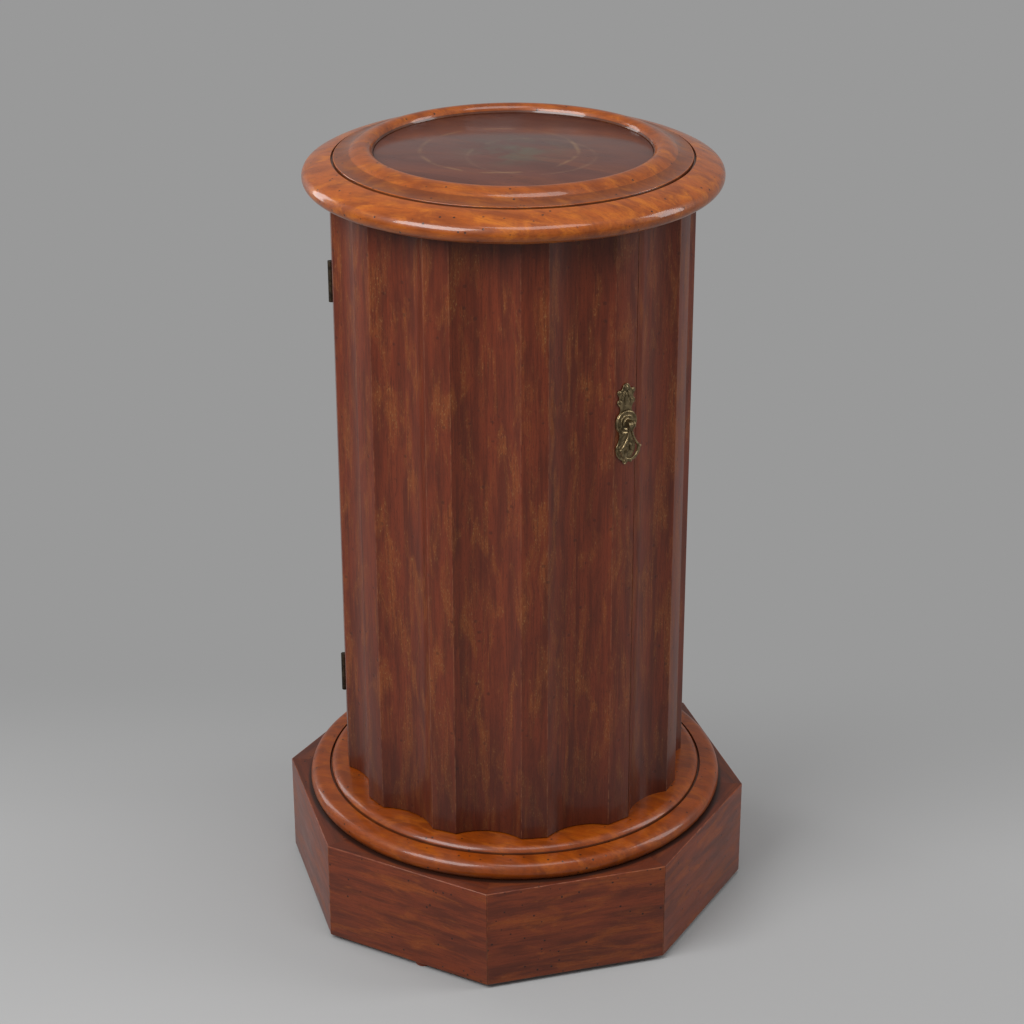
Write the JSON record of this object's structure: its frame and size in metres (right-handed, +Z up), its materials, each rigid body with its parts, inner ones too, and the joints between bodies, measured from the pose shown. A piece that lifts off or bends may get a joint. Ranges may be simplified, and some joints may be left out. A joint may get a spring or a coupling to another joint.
{
  "type": "nightstand",
  "caption": "Cylindrical mahogany pot cupboard: fluted column with a curved hinged door and drop pull, moulded round top with a sunken panel, octagonal plinth.",
  "frame": {"origin": "on the floor, at the middle of the plinth, which is the axis of the column", "axes": "+Z up along the column; -Y is the front, the way the middle of the door faces; +X is to the right seen from the front, the door's opening edge"},
  "size_m": [0.4356, 0.4356, 0.754],
  "materials": {
    "mahogany_column": "waxed mahogany, dark red-brown, vertical grain",
    "mahogany_mouldings": "polished mahogany, golden orange-brown",
    "mahogany_panel": "worn french polish, dark purple-brown",
    "mahogany_plinth": "waxed mahogany, level grain",
    "pine_inside": "bare old pine",
    "antique_brass": "dark aged brass",
    "steel": "dull steel"
  },
  "bodies": {
    "cabinet": {"plinth_board_1": "mahogany_plinth", "plinth_board_2": "mahogany_plinth", "plinth_board_3": "mahogany_plinth", "plinth_board_4": "mahogany_plinth", "plinth_board_5": "mahogany_plinth", "plinth_board_6": "mahogany_plinth", "plinth_board_7": "mahogany_plinth", "plinth_board_8": "mahogany_plinth", "plinth_glue_blocks": "pine_inside", "plinth_top_board": "pine_inside", "foot_pad_1": "mahogany_plinth", "foot_pad_2": "mahogany_plinth", "foot_pad_3": "mahogany_plinth", "moulding_screws": "steel", "base_moulding": "mahogany_mouldings", "carcass_stave_1": "mahogany_column", "carcass_stave_2": "mahogany_column", "carcass_stave_3": "mahogany_column", "carcass_stave_4": "mahogany_column", "carcass_stave_5": "mahogany_column", "carcass_stave_6": "mahogany_column", "carcass_stave_7": "mahogany_column", "bottom_board": "pine_inside", "shelf": "pine_inside", "shelf_battens": "pine_inside", "carcass_top": "pine_inside", "top_screws": "steel", "top_ring": "mahogany_mouldings", "top_panel": "mahogany_panel", "door_stop": "pine_inside", "strike_plate": "antique_brass", "strike_screws": "steel", "lower_hinge_fixed_leaf": "antique_brass", "upper_hinge_fixed_leaf": "antique_brass", "lower_hinge_pin": "antique_brass", "upper_hinge_pin": "antique_brass", "hinge_screws_fixed": "steel"},
    "door": {"door_stave_1": "mahogany_column", "door_stave_2": "mahogany_column", "door_stave_3": "mahogany_column", "door_stave_4": "mahogany_column", "door_stave_5": "mahogany_column", "lower_hinge_door_leaf": "antique_brass", "upper_hinge_door_leaf": "antique_brass", "hinge_screws_door": "steel", "catch_barrel": "antique_brass", "catch_spring": "steel", "handle_backplate": "antique_brass", "handle_boss": "antique_brass", "handle_post": "antique_brass", "handle_nut": "antique_brass", "handle_cross_pin": "antique_brass"},
    "drop": {"handle_drop": "antique_brass"},
    "ball": {"catch_ball": "steel"}
  },
  "joints": [
    {"name": "door_swing", "type": "hinge", "parent": "cabinet", "child": "door", "pos_m": [-0.15101, -0.07294, 0.4195], "axis": [0, 0, -1], "range_deg": [0, 160]},
    {"name": "drop_swing", "type": "hinge", "parent": "door", "child": "drop", "pos_m": [0.15073, -0.08702, 0.5376], "axis": [-0.5, -0.866, 0], "range_deg": [0, 120]},
    {"name": "ball_press", "type": "slide", "parent": "door", "child": "ball", "axis": [0.4349, 0.9005, 0], "range_m": [-0.0016, 0], "stiffness_N_per_m": 400, "springref_m": 0.001, "deforming": ["catch_spring"]}
  ]
}
